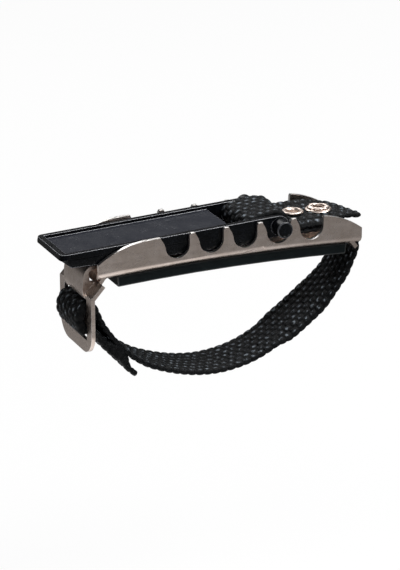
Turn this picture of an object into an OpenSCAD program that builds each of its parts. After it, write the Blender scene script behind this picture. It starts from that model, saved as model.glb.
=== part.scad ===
/* [Pressing bar] */
// Radius of the fingerboard that the pad is curved to fit
fret_r = 500; // [400:5:600]
// Overall length of the bar, over its two side walls
bar_l = 64; // [62:0.5:68]
// Overall width of the bar, over its two side walls
bar_w = 18.4; // [18:0.1:20]
// Height of the side walls, from the underside of the floor to the teeth
wall_h = 7.3; // [7:0.1:8]
// Thickness of the bar's steel sheet
sheet = 0.9; // [0.7:0.05:1.1]
// Outside bend radius along the two lower corners of the bar
bend_r = 1.8; // [1.3:0.1:2]
// Distance from mid-length to where the walls begin to slope down
hump_x = 20; // [19:0.5:21]
// Radius of the sloping shoulders of the walls
hump_r = 21; // [19:0.5:24]
// Distance from mid-length to where the floor's end lips turn down
lip_x = 29.6; // [29:0.1:30]
// Width of the turned-down lips
lip_w = 15.6; // [14:0.1:16]
// How far the lips reach outwards
lip_out = 1.8; // [1.6:0.05:2]
// How far the lips reach downwards
lip_drop = 1.9; // [1.7:0.05:2.1]

/* [Notches] */
// Number of notches in each side wall
notch_count = 5; // [4:1:5]
// Distance from one notch to the next
notch_pitch = 8.09; // [7.6:0.01:8.4]
// Radius at the bottom of a notch
notch_r = 2.9; // [2.6:0.05:3.1]
// Height of the notch centres above the underside of the floor
notch_h = 4.9; // [4.7:0.05:5.2]
// Place of the first notch along the bar
notch_x = -13.18; // [-13.6:0.02:-12.8]
// How far the lead-in side of a notch leans out at the top
notch_flare = 1; // [0.6:0.1:1.2]

/* [Rubber pad] */
// Thickness of the rubber pad
pad_t = 2.6; // [2:0.1:3]
// Width of the rubber pad
pad_w = 16; // [15:0.1:17]
// End of the pad nearest the buckle
pad_x0 = -27.2; // [-28:0.1:-26]
// End of the pad nearest the strap's lip
pad_x1 = 28.8; // [28:0.1:28.9]

/* [Toggle pin] */
// Radius of the toggle pin
pin_r = 1.9; // [1.7:0.05:2]
// Length of the toggle pin, which stands out past both walls
pin_l = 22.6; // [21:0.1:24]
// Distance of the pin's centre past the centre of its notch
pin_past = 0.75; // [0.6:0.05:0.8]
// Height of the pin's centre above the underside of the floor
pin_h = 5.55; // [5.3:0.05:5.8]
// Length of the chamfer at each end of the pin
pin_chamfer = 0.3; // [0.2:0.05:0.5]

/* [Lever] */
// Length of the lever, from the pin's axis to its tip
lever_l = 52; // [48:0.5:56]
// Gap between the lever and each side wall
lever_gap = 0.3; // [0.25:0.05:0.4]
// Height of the lever's top face above the pin's axis
lever_up = 2.4; // [2.2:0.05:2.6]
// Depth of the lever from its top face to its underside, at its window
lever_t = 5.3; // [4.5:0.05:5.6]
// Depth of the lever at its tip
tip_t = 2.9; // [2.7:0.05:3.3]
// Width of the rim at the lever's tip
tip_rim = 1.6; // [1.2:0.1:2]
// Height of the slope cut under the lever's tip
tip_under = 1.6; // [1:0.1:2]
// Depth of the thumb recess in the lever's top face
recess_d = 0.8; // [0.7:0.05:1.3]
// Thickness of the web under the thumb recess
web_t = 1.1; // [0.9:0.05:1.3]
// Distance from the pin's axis to the end of the lever's window
window_x = 11.2; // [10.8:0.1:12]
// Distance from the pin's axis to the lever's strap bar
strap_bar_x = 5.6; // [5.4:0.05:8]
// Radius of the lever's strap bar
strap_bar_r = 1.2; // [1:0.05:1.3]
// Height of the strap bar's centre above the pin's axis
strap_bar_up = 0.2; // [0:0.05:0.3]
// How far the closed lever leans down towards its tip, in degrees
lever_tilt = 2.4; // [2:0.1:2.8]

/* [Webbing strap] */
// Width of the webbing
strap_w = 12.7; // [12:0.1:13]
// Thickness of the webbing
strap_t = 1.1; // [0.9:0.05:1.15]
// Height of the two sewn layers' meeting face above the floor's underside
stack_h = 4.1; // [4:0.05:4.3]

// Depth of the strap's loop below the pad, to the middle of the webbing
loop_deep = 25.1; // [22:0.1:27]
// Length of the strap's free end, past the eyelets
free_l = 5.2; // [4:0.1:8]
// How far the strap's free end hangs down
free_droop = 0.9; // [0.5:0.1:2]
// How far the strap sags as it rises to the buckle
rise_sag = 1.8; // [1:0.05:2]
// Length of the strap's tail, past the buckle
tail_l = 15.3; // [12:0.1:16]

/* [Eyelets] */
// Distance from the pin to the eyelet nearest the lever
eyelet_past = 7.16; // [7.1:0.02:7.4]
// Distance between the two eyelets
eyelet_gap = 6.44; // [6.2:0.02:6.8]
// Outside radius of an eyelet's flange
flange_r = 2.5; // [2.3:0.05:2.6]
// Thickness of an eyelet's flange
flange_t = 0.5; // [0.4:0.05:0.6]
// Outside radius of an eyelet's barrel
barrel_r = 1.7; // [1.6:0.05:1.8]
// Wall of an eyelet's barrel
barrel_wall = 0.35; // [0.3:0.05:0.4]
// Thickness of the washer under an eyelet
washer_t = 0.3; // [0.25:0.05:0.4]

/* [Buckle] */
// Thickness of the buckle's steel sheet
plate_t = 0.9; // [0.8:0.05:1]
// Width of the buckle plate
plate_w = 19; // [18.6:0.1:22]
// Radius of the plate's lower corners
plate_r = 5; // [3:0.1:5.5]
// Height of each strap slot in the buckle
slot_h = 3.7; // [3.3:0.1:3.9]
// Height of the bar between the two strap slots
slot_bar = 2.2; // [2:0.1:2.4]
// Width of the hook neck that rises from the plate
neck_w = 11.2; // [10:0.1:12]
// Distance from the lip's middle to the buckle's plate
hook_reach = 2.6; // [2.4:0.05:2.8]
// Distance from the lip's middle down to the buckle's upper slot
hook_drop = 5.35; // [5.2:0.05:6.5]
// Height of the plate below its lower slot
plate_foot = 3.1; // [2:0.1:4]
// Length of the two shoulders that tuck in under the bar
shoulder_l = 2.8; // [2.4:0.1:3]

/* [Hidden] */
// Quality of round shapes
$fn = 64;
// Overlap that joins shapes of one solid
bite = 0.05;
// Clearance round a turning pin
run_gap = 0.05;
// Clearance between the webbing and what it wraps
wrap_gap = 0.1;
// Clearance of the webbing in a slot or window, each side
slot_gap = 0.25;
// Gap between the two layers of webbing that the eyelets join
layer_gap = 0.06;
// Colours
nickel = [0.75, 0.72, 0.69];
black_gloss = [0.06, 0.065, 0.08];
black_rubber = [0.07, 0.09, 0.1];
black_webbing = [0.05, 0.055, 0.06];

// Height of a point above the pad's face, from its height above the floor's underside at mid-length
function up(h) = pad_t + h;
// Degrees round the fingerboard's centre for a distance along the bar
function arc_deg(s) = s / (fret_r + pad_t) * 180 / PI;
// How far the bar has dropped at a distance from mid-length
function droop(x) = (fret_r + pad_t) - sqrt(pow(fret_r + pad_t, 2) - x * x);
// Height of the floor's middle at a place along the bar
function floor_mid(x) = up(sheet / 2) - droop(x);
// Unit normal, on the left, of the step from a to b
function left_normal(a, b) = [a[1] - b[1], b[0] - a[0]] / norm(b - a);
// Normal at point i of a path
function normal_at(p, i) =
    let (n = len(p) - 1,
         a = left_normal(p[max(i - 1, 0)], p[max(i, 1)]),
         b = left_normal(p[min(i, n - 1)], p[min(i + 1, n)]),
         m = (a + b) / norm(a + b))
    m / (m * a);
// Outline of a strip of thickness t along a path
function strip(p, t) = concat(
    [for (i = [0:len(p) - 1]) p[i] + normal_at(p, i) * t / 2],
    [for (i = [len(p) - 1:-1:0]) p[i] - normal_at(p, i) * t / 2]);
// Point at u between b and c, on a smooth curve through a, b, c and d
function spline_point(a, b, c, d, u) =
    0.5 * (2 * b + (c - a) * u + (2 * a - 5 * b + 4 * c - d) * u * u
    + (3 * b - a - 3 * c + d) * u * u * u);
// Smooth curve through the points of p, with n steps between two of them
function smooth(p, n) =
    let (last = len(p) - 1)
    concat([for (i = [0:last - 1], k = [0:n - 1])
        spline_point(p[max(i - 1, 0)], p[i], p[i + 1], p[min(i + 2, last)], k / n)],
        [p[last]]);
// Points on an arc about c, from angle a0 to a1
function arc_points(c, r, a0, a1, n) =
    [for (k = [0:n]) let (a = a0 + (a1 - a0) * k / n) c + r * [cos(a), sin(a)]];

// The pin rests in the last notch but one
pin_x = notch_x + (notch_count - 2) * notch_pitch + pin_past;
pin_z = up(pin_h) - droop(pin_x);
pin_at = [pin_x, pin_z];
lever_w = bar_w - 2 * sheet - 2 * lever_gap;
window_w = strap_w + 2 * slot_gap;
boss_r = lever_up;
strap_bar = pin_at + [strap_bar_up * sin(lever_tilt) - strap_bar_x * cos(lever_tilt),
                      strap_bar_up * cos(lever_tilt) - strap_bar_x * sin(lever_tilt)];

// The two strap layers that the eyelets join
eyelet_x = pin_x + eyelet_past;
head_x0 = eyelet_x - flange_r - run_gap;
head_x1 = eyelet_x + eyelet_gap + flange_r + run_gap;
stack_t = 2 * strap_t + layer_gap;
upper_z = up(stack_h) + (strap_t + layer_gap) / 2;
lower_z = up(stack_h) - (strap_t + layer_gap) / 2;

// The buckle hangs on the lip, and its plate stands clear of the lip's edge
hook_axis = [-lip_x - 1.5 * sheet, pad_t - plate_t / 4];
plate_x = hook_axis[0] - hook_reach;
slot_top = hook_axis[1] - hook_drop;
plate_low = slot_top - 2 * slot_h - slot_bar - plate_foot;
bar_mid_z = slot_top - slot_h - slot_bar / 2;

// Path of an end lip, as seen at the end that the strap leaves
lip_path = [[lip_x - 1, floor_mid(lip_x - 1)], [lip_x, floor_mid(lip_x)],
            [lip_x + lip_out / 3, floor_mid(lip_x) - lip_drop / 6],
            [lip_x + lip_out, floor_mid(lip_x) - lip_drop]];
// Path of the buckle's neck and hook, from the upper slot to the hook's end
hook_path = [[plate_x, slot_top], [plate_x - hook_reach * 0.19, slot_top + hook_drop * 0.28],
             hook_axis + hook_reach * [-1.15, -0.54], hook_axis + hook_reach * [-1, 0.08],
             hook_axis + hook_reach * [-0.65, 0.44], hook_axis + hook_reach * [-0.27, 0.54],
             hook_axis + hook_reach * [0.08, 0.5]];

// Heights at which the strap passes the two slots of the buckle
slot_in_z = slot_top - slot_h / 2;
slot_out_z = slot_top - 1.5 * slot_h - slot_bar;
wrap_out = strap_t / 2 + plate_t / 2 + wrap_gap;

// Route of the strap's middle, from its free end round the lever, the eyelets, the lip and the buckle
loop_r = strap_bar_r + wrap_gap + strap_t / 2;
pin_loop_r = pin_r + wrap_gap + strap_t / 2;
pin_top = pin_at + (pin_loop_r + run_gap) * [cos(92), sin(92)];
bar_top = strap_bar + loop_r * [cos(80), sin(80)];
pin_low = pin_at - [0, pin_loop_r + run_gap];
bar_low = strap_bar + loop_r * [cos(280), sin(280)];
// Where the strap leaves the lip, and the shape of its sweep to the buckle
strap_leave = [lip_x + lip_out + strap_t, -run_gap];
sweep_shape = [[0.505, -0.076], [0.489, -0.159], [0.464, -0.287], [0.419, -0.418],
               [0.369, -0.538], [0.291, -0.689], [0.211, -0.817], [0.133, -0.916],
               [0.055, -0.976], [-0.023, -1], [-0.102, -0.99], [-0.168, -0.957],
               [-0.236, -0.903], [-0.297, -0.838], [-0.345, -0.757]];
sweep_points = [for (q = sweep_shape) [q[0] * bar_l, q[1] * loop_deep]];
sweep_left = sweep_points[len(sweep_points) - 1];
buckle_in = [plate_x + wrap_out, slot_in_z];
buckle_out = [plate_x + wrap_out, slot_out_z - slot_h / 8];

free_route = smooth([[head_x1 + free_l, upper_z - free_droop],
    [head_x1 + free_l * 0.77, upper_z - free_droop * 0.64],
    [head_x1 + free_l * 0.54, upper_z - free_droop * 0.3],
    [head_x1 + free_l * 0.3, upper_z - free_droop * 0.07], [head_x1, upper_z]], 4);
loop_route = concat(
    smooth([[head_x0, upper_z], pin_at + [3.2, 0.85] * pin_r / 1.9,
            pin_at + (pin_loop_r + 0.2) * [cos(50), sin(50)], pin_top,
            pin_top * 0.66 + bar_top * 0.34 + [0, 0.1],
            pin_top * 0.33 + bar_top * 0.67 + [0, 0.15], bar_top], 4),
    arc_points(strap_bar, loop_r, 95, 265, 12),
    smooth([bar_low, bar_low * 0.67 + pin_low * 0.33, bar_low * 0.33 + pin_low * 0.67,
            pin_low, pin_low + [2.3, 0.25], [head_x0, lower_z]], 4));
lip_route = smooth([[head_x1, lower_z], [lip_x - 0.2, lower_z - strap_t * 0.55],
    [lip_x + lip_out * 0.75, lower_z - strap_t * 1.9],
    [lip_x + lip_out + strap_t * 0.8, lower_z - strap_t * 3.6], strap_leave], 5);
run_route = smooth(concat([strap_leave], sweep_points), 3);
rise_route = smooth([sweep_left, sweep_left * 0.75 + buckle_in * 0.25 - [0, rise_sag * 0.7],
    sweep_left * 0.5 + buckle_in * 0.5 - [0, rise_sag],
    sweep_left * 0.25 + buckle_in * 0.75 - [0, rise_sag * 0.8],
    buckle_in + strap_t * [0.95, -1.25], buckle_in + strap_t * [0.45, -0.36], buckle_in], 4);
wrap_route = smooth([buckle_in, [plate_x, slot_in_z + strap_t * 0.15],
    [plate_x - wrap_out, slot_in_z - strap_t * 0.25],
    [plate_x - wrap_out * 1.85, bar_mid_z + slot_bar * 0.5],
    [plate_x - wrap_out * 1.95, bar_mid_z - slot_bar * 0.45],
    [plate_x - wrap_out * 1.1, slot_out_z - strap_t * 0.1],
    [plate_x, slot_out_z - strap_t * 0.1], buckle_out], 4);
tail_shape = [[0, 0], [0.056, -0.046], [0.111, -0.125], [0.167, -0.21], [0.229, -0.288],
              [0.304, -0.367], [0.389, -0.439], [0.474, -0.517], [0.539, -0.589],
              [0.611, -0.654], [0.69, -0.72]];
tail_route = smooth([for (q = tail_shape) buckle_out + tail_l * q], 3);
STRETCHES = [free_route, [[head_x1, upper_z], [head_x0, upper_z]], loop_route,
             [[head_x0, lower_z], [head_x1, lower_z]], lip_route, run_route,
             rise_route, wrap_route, tail_route];
// All stretches end to end, without the points that two of them share
strap_route = [for (k = [0:len(STRETCHES) - 1], i = [(k == 0 ? 0 : 1):len(STRETCHES[k]) - 1]) STRETCHES[k][i]];
// Index in the whole route of the last point of stretch k
function stretch_end(k) = k < 0 ? 0 : stretch_end(k - 1) + len(STRETCHES[k]) - 1;
// Outline of stretches a to b, whose ends match their neighbours' ends
function stretch_outline(a, b) =
    let (i0 = stretch_end(a - 1), i1 = stretch_end(b))
    concat([for (i = [i0:i1]) strap_route[i] + normal_at(strap_route, i) * strap_t / 2],
           [for (i = [i1:-1:i0]) strap_route[i] - normal_at(strap_route, i) * strap_t / 2]);

// Draws its children, made in X and height, as a slab of width w across the bar
module across(w)
    rotate([90, 0, 0])
        linear_extrude(height = w, center = true)
            children();

// Turns flat children about the fingerboard's centre to a place s along the bar
module at_bar(s)
    translate([0, -fret_r])
        rotate(-arc_deg(s))
            translate([0, fret_r])
                children();

// Revolves a section of radius and width about the fingerboard's centre
module curved(s0, s1)
    translate([0, 0, -fret_r])
        rotate([90, 0, 0])
            rotate([0, 0, 90 - arc_deg(s1)])
                rotate_extrude(angle = arc_deg(s1 - s0), $fn = 360)
                    children();

// Corner of the U section, between the floor and one wall
module corner_section() {
    centre = [fret_r + pad_t + bend_r, bar_w / 2 - bend_r];
    intersection() {
        translate(centre)
            difference() {
                circle(r = bend_r);
                circle(r = bend_r - sheet);
            }
        translate([centre[0] - bend_r - bite, centre[1]])
            square(bend_r + bite);
    }
}

// U section of the bar: floor, corners and walls
module u_section() {
    inner = fret_r + pad_t;
    translate([inner, -bar_w / 2 + bend_r])
        square([sheet, bar_w - 2 * bend_r]);
    for (side = [0, 1])
        mirror([0, side]) {
            corner_section();
            translate([inner + bend_r, bar_w / 2 - sheet])
                square([wall_h - bend_r, sheet]);
        }
}

// One notch, with a lead-in side that leans outwards
module notch() {
    top = wall_h + 1;
    translate([0, up(notch_h)])
        circle(r = notch_r);
    polygon([[-notch_r, up(notch_h)], [notch_r, up(notch_h)], [notch_r, up(wall_h - 0.5)],
             [notch_r + 0.35, up(wall_h)], [notch_r + 0.35, up(top)],
             [-notch_r - notch_flare * 1.3, up(top)], [-notch_r - notch_flare, up(wall_h - 0.3)],
             [-notch_r - notch_flare * 0.35, up(notch_h + 1)]]);
}

// Side view of the walls, with sloping shoulders and notches
module wall_side() {
    difference() {
        intersection() {
            translate([-bar_l / 2, -2])
                square([bar_l, up(wall_h) + 4]);
            union() {
                translate([-hump_x, -2])
                    square([2 * hump_x, up(wall_h) + 4]);
                for (side = [-1, 1])
                    at_bar(side * hump_x)
                        translate([0, up(wall_h) - hump_r])
                            circle(r = hump_r, $fn = 180);
            }
        }
        for (i = [0:notch_count - 1])
            at_bar(notch_x + i * notch_pitch)
                notch();
    }
}

module channel() {
    color(nickel) {
        difference() {
            intersection() {
                curved(-bar_l / 2 - 2, bar_l / 2 + 2)
                    u_section();
                across(bar_w + 2)
                    wall_side();
            }
            for (side = [-1, 1])
                translate([side * (lip_x + 5), 0, up(0)])
                    cube([10, lip_w + 0.5, 5], center = true);
        }
        for (side = [0, 1])
            mirror([side, 0, 0])
                across(lip_w)
                    polygon(strip(lip_path, sheet));
    }
}

module pad() {
    color(black_rubber)
        curved(pad_x0, pad_x1)
            translate([fret_r, -pad_w / 2])
                square([pad_t, pad_w]);
}

// Puts children drawn round the pin's axis where the closed lever lies
module lever_place()
    translate([pin_x, 0, pin_z])
        rotate([0, -lever_tilt, 0])
            children();

// Plan of the lever's plate, with two rounded corners at the tip
module lever_plan() {
    tip_r = 1.5;
    translate([-lever_l + tip_r, -lever_w / 2])
        square([lever_l - tip_r, lever_w]);
    for (side = [-1, 1])
        translate([-lever_l + tip_r, side * (lever_w / 2 - tip_r)])
            circle(r = tip_r);
    translate([-lever_l, -lever_w / 2 + tip_r])
        square([tip_r + bite, lever_w - 2 * tip_r]);
}

// Side view of the lever's plate, which grows deeper from its tip to its window
module lever_side()
    polygon([[-lever_l - 1, lever_up + 1], [0, lever_up + 1], [0, -boss_r * 0.94],
             [-boss_r * 0.34, -boss_r * 0.94], [-strap_bar_x, lever_up - lever_t],
             [-window_x, lever_up - lever_t], [-lever_l - 1, lever_up - tip_t]]);

module lever() {
    low = lever_up - tip_t;
    color(black_gloss)
        lever_place() {
            difference() {
                union() {
                    intersection() {
                        translate([0, 0, lever_up - lever_t - 1])
                            linear_extrude(height = lever_t + 1)
                                lever_plan();
                        across(lever_w + 2)
                            lever_side();
                    }
                    across(lever_w)
                        circle(r = boss_r);
                }
                // Window and open fork for the strap
                translate([-window_x, -window_w / 2, -lever_t - 5])
                    cube([window_x + 10, window_w, lever_t + 20]);
                // Thumb recess
                translate([-lever_l + tip_rim, -window_w / 2, lever_up - recess_d])
                    cube([lever_l, window_w, 10]);
                // Hollow underside
                translate([-lever_l + tip_rim, -window_w / 2, -10])
                    cube([lever_l - tip_rim - window_x - 1.2, window_w,
                          10 + lever_up - recess_d - web_t]);
                // Slope under the tip
                across(lever_w + 2)
                    polygon([[-lever_l - 1, low - 1], [-lever_l + 1.3 * tip_under, low - 1],
                             [-lever_l + 1.3 * tip_under, low], [-lever_l, low + tip_under],
                             [-lever_l - 1, low + tip_under]]);
                // Bore for the pin
                across(lever_w + 2)
                    circle(r = pin_r + run_gap);
            }
            translate([-strap_bar_x, 0, strap_bar_up])
                across(window_w + 2 * bite)
                    circle(r = strap_bar_r);
        }
}

module toggle_pin() {
    color(black_gloss)
        translate([pin_x, 0, pin_z])
            rotate([90, 0, 0]) {
                cylinder(r = pin_r, h = pin_l - 2 * pin_chamfer, center = true);
                for (side = [0, 1])
                    mirror([0, 0, side])
                        translate([0, 0, pin_l / 2 - pin_chamfer])
                            cylinder(r1 = pin_r, r2 = pin_r - pin_chamfer, h = pin_chamfer);
            }
}

// Webbing along stretches a to b of the strap's route
module webbing(a, b)
    across(strap_w)
        polygon(stretch_outline(a, b));

// Holes that the eyelets' barrels fill
module eyelet_holes()
    for (i = [0, 1])
        translate([eyelet_x + i * eyelet_gap, 0, up(0)])
            cylinder(r = barrel_r, h = 2 * stack_h);

module strap_head_upper() {
    color(black_webbing)
        difference() {
            webbing(0, 1);
            eyelet_holes();
        }
}

module strap_toggle_loop() {
    color(black_webbing)
        webbing(2, 2);
}

module strap_head_lower() {
    color(black_webbing)
        difference() {
            webbing(3, 4);
            eyelet_holes();
        }
}

module strap_run() {
    color(black_webbing)
        webbing(5, 5);
}

module strap_rise() {
    color(black_webbing)
        webbing(6, 6);
}

module strap_wrap() {
    color(black_webbing)
        webbing(7, 7);
}

module strap_tail() {
    color(black_webbing)
        webbing(8, 8);
}

// Flanged eyelet standing on its flange's underside, with a rolled rim at the other end
module eyelet() {
    grip = stack_t + washer_t;
    roll_r = 0.28;
    rotate_extrude() {
        translate([barrel_r - barrel_wall, -grip - roll_r])
            square([barrel_wall, grip + roll_r + flange_t / 2]);
        translate([barrel_r - barrel_wall, 0])
            square([flange_r - barrel_r + barrel_wall - flange_t / 2, flange_t]);
        translate([flange_r - flange_t / 2, flange_t / 2])
            circle(r = flange_t / 2, $fn = 24);
        translate([barrel_r + roll_r / 2, -grip - roll_r])
            circle(r = roll_r, $fn = 24);
    }
}

module washer()
    difference() {
        cylinder(r = flange_r - 0.1, h = washer_t);
        translate([0, 0, -1])
            cylinder(r = barrel_r, h = washer_t + 2);
    }

module eyelet_lever_end() {
    color(nickel)
        translate([eyelet_x, 0, up(stack_h) + stack_t / 2])
            eyelet();
}

module washer_lever_end() {
    color(nickel)
        translate([eyelet_x, 0, up(stack_h) - stack_t / 2 - washer_t])
            washer();
}

module eyelet_free_end() {
    color(nickel)
        translate([eyelet_x + eyelet_gap, 0, up(stack_h) - stack_t / 2])
            mirror([0, 0, 1])
                eyelet();
}

module washer_free_end() {
    color(nickel)
        translate([eyelet_x + eyelet_gap, 0, up(stack_h) + stack_t / 2])
            washer();
}

// Face view of the buckle plate, as width and height
module plate_face() {
    half = plate_w / 2;
    rail_top = slot_top - 0.6;
    difference() {
        union() {
            translate([-half, plate_low + plate_r])
                square([plate_w, rail_top - plate_low - plate_r]);
            translate([-half + plate_r, plate_low])
                square([plate_w - 2 * plate_r, plate_r + bite]);
            for (side = [-1, 1])
                translate([side * (half - plate_r), plate_low + plate_r])
                    circle(r = plate_r);
            translate([-half, rail_top - bite])
                square([plate_w, slot_top + 0.9 - rail_top + bite]);
        }
        for (i = [0, 1])
            translate([-strap_w / 2 - slot_gap, slot_top - slot_h - i * (slot_h + slot_bar)])
                square([strap_w + 2 * slot_gap, slot_h]);
    }
}

module buckle() {
    shoulder_w = (plate_w - neck_w + plate_t) / 2;
    root = [plate_x, slot_top + 0.6];
    cheek = [[plate_x, slot_top + 0.2], root + shoulder_l * [cos(48), sin(48)],
             hook_axis + hook_reach * [-0.42, -1.05], hook_axis + hook_reach * [-0.66, -0.68],
             hook_axis + hook_reach * [-0.76, 0], hook_axis + hook_reach * [-1, 0.08],
             hook_axis + hook_reach * [-1.15, -0.54], hook_path[1]];
    color(nickel) {
        translate([plate_x + plate_t / 2, 0, 0])
            rotate([90, 0, -90])
                linear_extrude(height = plate_t)
                    plate_face();
        across(neck_w)
            polygon(strip(smooth(hook_path, 3), plate_t));
        for (side = [-1, 1])
            translate([0, side * (neck_w - plate_t) / 2, 0])
                across(plate_t)
                    polygon(cheek);
        for (side = [-1, 1])
            translate([0, side * (plate_w - shoulder_w) / 2, 0])
                across(shoulder_w)
                    polygon(strip([root - [0, 0.6], root,
                                   root + shoulder_l * [cos(48), sin(48)]], plate_t));
    }
}

channel();
pad();
lever();
toggle_pin();
buckle();
strap_head_upper();
strap_head_lower();
strap_toggle_loop();
strap_run();
strap_rise();
strap_wrap();
strap_tail();
eyelet_lever_end();
eyelet_free_end();
washer_lever_end();
washer_free_end();
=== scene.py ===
"""Looks of a strap guitar capo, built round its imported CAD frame.

Lengths in the classes below are in millimetres, in the CAD model's own frame.
"""

from __future__ import annotations

import logging
import math
from dataclasses import dataclass, field
from enum import Enum
from typing import Sequence

import bmesh
import bpy
from mathutils import Matrix, Vector


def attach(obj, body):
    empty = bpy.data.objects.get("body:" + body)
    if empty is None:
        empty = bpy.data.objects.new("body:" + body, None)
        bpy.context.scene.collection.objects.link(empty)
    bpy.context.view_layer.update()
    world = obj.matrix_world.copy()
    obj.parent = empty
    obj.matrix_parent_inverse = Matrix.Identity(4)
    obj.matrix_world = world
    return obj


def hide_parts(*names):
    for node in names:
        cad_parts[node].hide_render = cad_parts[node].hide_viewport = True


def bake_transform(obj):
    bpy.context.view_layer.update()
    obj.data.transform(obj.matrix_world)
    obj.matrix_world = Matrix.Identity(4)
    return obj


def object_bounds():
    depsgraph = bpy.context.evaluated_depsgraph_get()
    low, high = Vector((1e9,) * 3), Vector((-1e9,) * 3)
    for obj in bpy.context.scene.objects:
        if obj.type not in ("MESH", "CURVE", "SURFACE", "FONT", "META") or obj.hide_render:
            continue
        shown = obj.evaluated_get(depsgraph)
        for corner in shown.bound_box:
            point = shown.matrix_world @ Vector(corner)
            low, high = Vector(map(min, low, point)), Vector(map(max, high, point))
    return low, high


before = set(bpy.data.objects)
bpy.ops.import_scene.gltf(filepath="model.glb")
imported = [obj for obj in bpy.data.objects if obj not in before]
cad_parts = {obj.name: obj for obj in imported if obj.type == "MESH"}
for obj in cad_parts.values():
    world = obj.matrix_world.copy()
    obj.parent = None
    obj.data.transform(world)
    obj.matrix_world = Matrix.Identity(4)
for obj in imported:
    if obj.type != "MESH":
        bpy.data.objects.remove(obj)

LOG = logging.getLogger("capo")
CAD_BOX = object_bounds()
MM = 0.001
NEAR = 0.001 * MM
GRAIN_RANGE = (0.1, 0.45)
GRAIN_DEPTH = 0.02
FINE_GRAIN = 5.3
FINE_SHARE = 5

Point = tuple[float, float]
Triple = tuple[float, float, float]
Colour = tuple[float, float, float, float]
Row = tuple[str, Point, Point, float]
Spot = tuple[float, float, Point]
Socket = bpy.types.NodeSocket


class Finish(Enum):
    """The finishes that the capo's pieces are made in."""

    NICKEL = "nickel_plate"
    GLOSS = "black_gloss"
    RUBBER = "black_rubber"
    WEBBING = "black_webbing"


# ---------------------------------------------------------------- mesh helpers


def new_object(name: str, bm: bmesh.types.BMesh, smooth_deg: float = 35.0,
               level: bool = False) -> bpy.types.Object:
    """Turns a bmesh in metres into a scene object and frees the bmesh.

    Args:
        name: Name of the new object.
        bm: The finished bmesh.
        smooth_deg: Edges that turn less than this many degrees are shaded smooth.
        level: Keeps broad flat faces flat in the shading, so only small faces take the turn.

    Returns:
        The new object, at the origin.
    """
    limit = math.radians(smooth_deg)
    for edge in bm.edges:
        edge.smooth = len(edge.link_faces) == 2 and edge.calc_face_angle(0.0) < limit
    for face in bm.faces:
        face.smooth = True
    mesh = bpy.data.meshes.new(name)
    bm.to_mesh(mesh)
    bm.free()
    obj = bpy.data.objects.new(name, mesh)
    bpy.context.scene.collection.objects.link(obj)
    if level:
        weighted = obj.modifiers.new("level_faces", "WEIGHTED_NORMAL")
        weighted.keep_sharp, weighted.weight = True, 100
    return obj


def cad_copy(node: str, flat_deg: float = 1.0) -> bmesh.types.BMesh:
    """Copies a CAD node's mesh into a clean bmesh with its triangles joined.

    Args:
        node: Name of the CAD node.
        flat_deg: Faces that meet at less than this angle are joined into one.

    Returns:
        A bmesh in metres, with merged vertices and flat faces joined.
    """
    bm = bmesh.new()
    bm.from_mesh(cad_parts[node].data)
    bmesh.ops.remove_doubles(bm, verts=bm.verts, dist=0.002 * MM)
    bmesh.ops.dissolve_limit(bm, angle_limit=math.radians(flat_deg), verts=bm.verts, edges=bm.edges)
    return bm


def round_edges(bm: bmesh.types.BMesh, width: float, segments: int, sharp_deg: float = 35.0) -> None:
    """Rounds the sharp edges of a bmesh, and marks the new faces in a layer on which the finishes paint a
    highlight and change the gloss.

    Args:
        bm: The bmesh to change.
        width: Width of the rounding in millimetres.
        segments: Number of faces across each rounding.
        sharp_deg: Only edges that turn more than this are rounded.
    """
    edge_highlight = bm.faces.layers.float.get("edge_highlight") or bm.faces.layers.float.new("edge_highlight")
    edges = [e for e in bm.edges if len(e.link_faces) == 2
             and e.calc_face_angle(0.0) > math.radians(sharp_deg)]
    made = bmesh.ops.bevel(bm, geom=edges, offset=width * MM, offset_type="OFFSET", segments=segments,
                           profile=0.5, affect="EDGES", clamp_overlap=True, material=-1)
    for face in made["faces"]:
        if face.is_valid:
            face[edge_highlight] = 1.0


def spun(name: str, profile: Sequence[Point], centre: Triple, steps: int = 72,
         flip: bool = False) -> bmesh.types.BMesh:
    """Spins a closed profile of radius and height about an upright axis.

    Args:
        name: Name used in the log.
        profile: Radius and height pairs in millimetres, in order round the profile.
        centre: Place of the axis and of height zero, in millimetres.
        steps: Faces round the axis.
        flip: Turns the heights upside down.

    Returns:
        A bmesh in metres.
    """
    bm = bmesh.new()
    up = -1.0 if flip else 1.0
    verts = [bm.verts.new(((centre[0] + r) * MM, centre[1] * MM, (centre[2] + up * h) * MM))
             for r, h in profile]
    edges = [bm.edges.new((verts[i], verts[(i + 1) % len(verts)])) for i in range(len(verts))]
    bmesh.ops.spin(bm, geom=verts + edges, cent=Vector(centre) * MM, axis=(0, 0, 1), angle=2 * math.pi,
                   steps=steps, use_merge=True)
    bmesh.ops.remove_doubles(bm, verts=bm.verts, dist=NEAR)
    bmesh.ops.recalc_face_normals(bm, faces=bm.faces)
    LOG.info("spun %s with %d faces", name, len(bm.faces))
    return bm


# ------------------------------------------------------------- material helpers


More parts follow.
